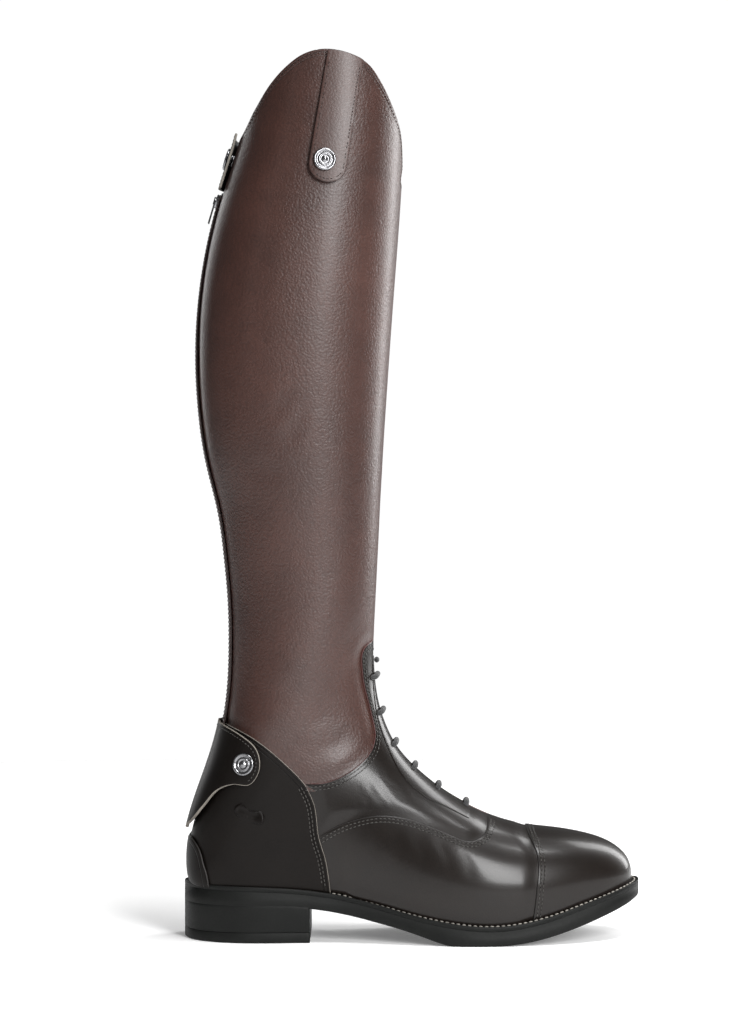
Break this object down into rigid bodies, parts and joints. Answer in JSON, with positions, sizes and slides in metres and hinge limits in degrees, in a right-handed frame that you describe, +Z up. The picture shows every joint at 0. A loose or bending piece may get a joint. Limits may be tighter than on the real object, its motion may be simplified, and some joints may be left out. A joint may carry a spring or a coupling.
{
  "type": "riding boot",
  "caption": "Tall riding boot for the right foot with an arched outer top, rear zip, laced instep, toe cap, snap flap over the heel and a stacked heel.",
  "frame": {"origin": "point on the floor under the middle of the heel, on the bottom face of the heel top piece", "axes": "+X from heel to toe, -Y to the outer side of the leg, +Z up the shaft, the longest way"},
  "size_m": [0.2877, 0.12, 0.552],
  "materials": {
    "brown_leather": "pebbled mahogany calf, half matt",
    "black_leather": "smooth black calf, polished",
    "lining_leather": "soft dark lining leather",
    "stiffener_board": "fibre board and cork",
    "rubber": "matt black moulded rubber",
    "elastic_cord": "braided round elastic",
    "zip_tape": "woven tape and nylon coil",
    "chrome": "polished plate",
    "steel": "plain spring steel"
  },
  "bodies": {
    "boot": {"shaft_leather": "brown_leather", "zip_facing_outer": "brown_leather", "zip_facing_inner": "brown_leather", "dress_strap_root": "brown_leather", "toe_cap": "black_leather", "vamp": "black_leather", "heel_counter": "black_leather", "quarter_outer": "black_leather", "quarter_inner": "black_leather", "lace_facing_outer": "black_leather", "lace_facing_inner": "black_leather", "tongue": "black_leather", "backstay": "black_leather", "spur_rest_outer": "black_leather", "spur_rest_inner": "black_leather", "heel_flap_root": "black_leather", "rear_tab_root": "black_leather", "shaft_lining": "lining_leather", "foot_lining": "lining_leather", "insock": "lining_leather", "toe_puff": "stiffener_board", "heel_stiffener": "stiffener_board", "insole_board": "stiffener_board", "cork_filler": "stiffener_board", "welt": "rubber", "heel_rand": "rubber", "outsole": "rubber", "heel_block": "rubber", "heel_top_piece": "rubber", "lace_1": "elastic_cord", "lace_2": "elastic_cord", "lace_3": "elastic_cord", "lace_4": "elastic_cord", "lace_5": "elastic_cord", "lace_6": "elastic_cord", "lace_knot": "elastic_cord", "zip_tape_outer": "zip_tape", "zip_tape_inner": "zip_tape", "zip_teeth_outer": "zip_tape", "zip_teeth_inner": "zip_tape", "zip_top_stop": "chrome", "zip_bottom_stop": "chrome", "heel_snap_stud": "chrome", "rear_snap_stud": "chrome", "dress_snap_stud": "chrome", "shank": "steel"},
    "zip_slider_body": {"zip_slider": "chrome"},
    "zip_pull_body": {"zip_pull": "chrome"},
    "rear_tab_body": {"rear_tab": "black_leather", "rear_snap_cap": "chrome"},
    "heel_flap_body": {"heel_flap": "black_leather", "heel_snap_cap": "chrome"},
    "dress_strap_body": {"dress_strap": "brown_leather", "dress_snap_cap": "chrome"}
  },
  "joints": [
    {"name": "zip_slide", "type": "hinge", "parent": "boot", "child": "zip_slider_body", "pos_m": [0.3118, 0, 0.366], "axis": [0, -1, 0], "range_deg": [0, 32]},
    {"name": "zip_pull_swing", "type": "hinge", "parent": "zip_slider_body", "child": "zip_pull_body", "pos_m": [-0.02246, 0, 0.46503], "axis": [0, 1, 0], "range_deg": [0, 120]},
    {"name": "rear_tab_open", "type": "hinge", "parent": "boot", "child": "rear_tab_body", "pos_m": [-0.01338, 0.014, 0.48897], "axis": [-0.2932, 0, -0.9561], "range_deg": [0, 110]},
    {"name": "heel_flap_open", "type": "hinge", "parent": "boot", "child": "heel_flap_body", "pos_m": [-0.02387, 0.02, 0.10984], "axis": [-0.3134, 0, -0.9496], "range_deg": [0, 110]},
    {"name": "dress_strap_lift", "type": "hinge", "parent": "boot", "child": "dress_strap_body", "pos_m": [0.0576, -0.0582, 0.5313], "axis": [-0.9869, 0, 0.1616], "range_deg": [0, 70]}
  ]
}
